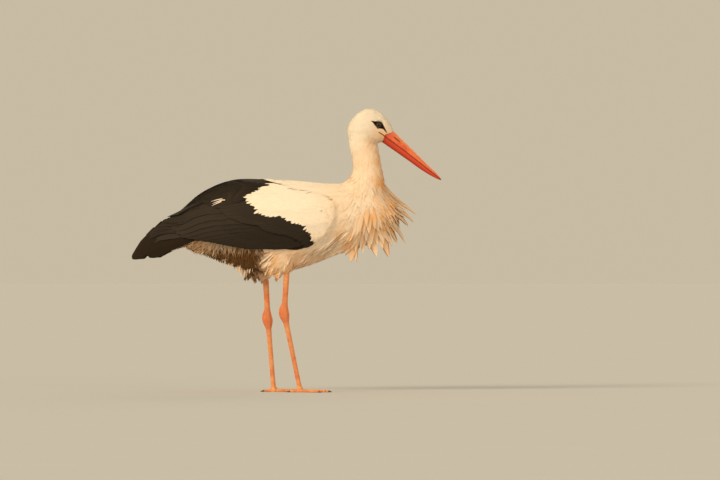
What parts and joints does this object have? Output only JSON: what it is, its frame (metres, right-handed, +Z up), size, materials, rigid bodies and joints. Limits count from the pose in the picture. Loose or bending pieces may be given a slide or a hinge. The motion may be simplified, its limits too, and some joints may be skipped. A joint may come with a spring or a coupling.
{
  "type": "standing stork",
  "caption": "Life-size wading bird standing on two long legs, with folded wings, a tapering neck, plumes hanging from the breast and a long dagger bill held low.",
  "frame": {"origin": "on the ground, under the middle of the bird's overall length and width", "axes": "+X towards the bill, +Y towards the bird's left side, +Z up"},
  "size_m": [0.7744, 0.2102, 0.7074],
  "materials": {
    "white_feathers": "soft matt warm white plumage",
    "black_feathers": "soft brown-black flight feathers with a slight sheen",
    "red_bill": "satin orange-red horn",
    "red_leg_skin": "matt orange-red scaly skin",
    "claw_horn": "dull dark horn",
    "dark_eye": "wet dark brown eye"
  },
  "bodies": {
    "root": {"ball_left": "red_leg_skin", "ball_right": "red_leg_skin", "bill_lower": "red_bill", "bill_upper": "red_bill", "breast_plumes": "white_feathers", "claw_hind_left": "claw_horn", "claw_hind_right": "claw_horn", "claw_inner_left": "claw_horn", "claw_inner_right": "claw_horn", "claw_middle_left": "claw_horn", "claw_middle_right": "claw_horn", "claw_outer_left": "claw_horn", "claw_outer_right": "claw_horn", "eye_left": "dark_eye", "eye_right": "dark_eye", "head": "white_feathers", "heel_left": "red_leg_skin", "heel_right": "red_leg_skin", "neck_lower": "white_feathers", "neck_upper": "white_feathers", "rump": "white_feathers", "shank_left": "red_leg_skin", "shank_right": "red_leg_skin", "tail": "white_feathers", "tarsus_left": "red_leg_skin", "tarsus_right": "red_leg_skin", "thigh_left": "white_feathers", "thigh_right": "white_feathers", "toe_hind_left": "red_leg_skin", "toe_hind_right": "red_leg_skin", "toe_inner_left": "red_leg_skin", "toe_inner_right": "red_leg_skin", "toe_middle_left": "red_leg_skin", "toe_middle_right": "red_leg_skin", "toe_outer_left": "red_leg_skin", "toe_outer_right": "red_leg_skin", "trunk": "white_feathers", "vent_plumes": "white_feathers", "wing_coverts_left": "white_feathers", "wing_coverts_right": "white_feathers", "wing_primaries_left": "black_feathers", "wing_primaries_right": "black_feathers", "wing_scapulars_left": "black_feathers", "wing_scapulars_right": "black_feathers", "wing_secondaries_left": "black_feathers", "wing_secondaries_right": "black_feathers"}
  },
  "joints": []
}
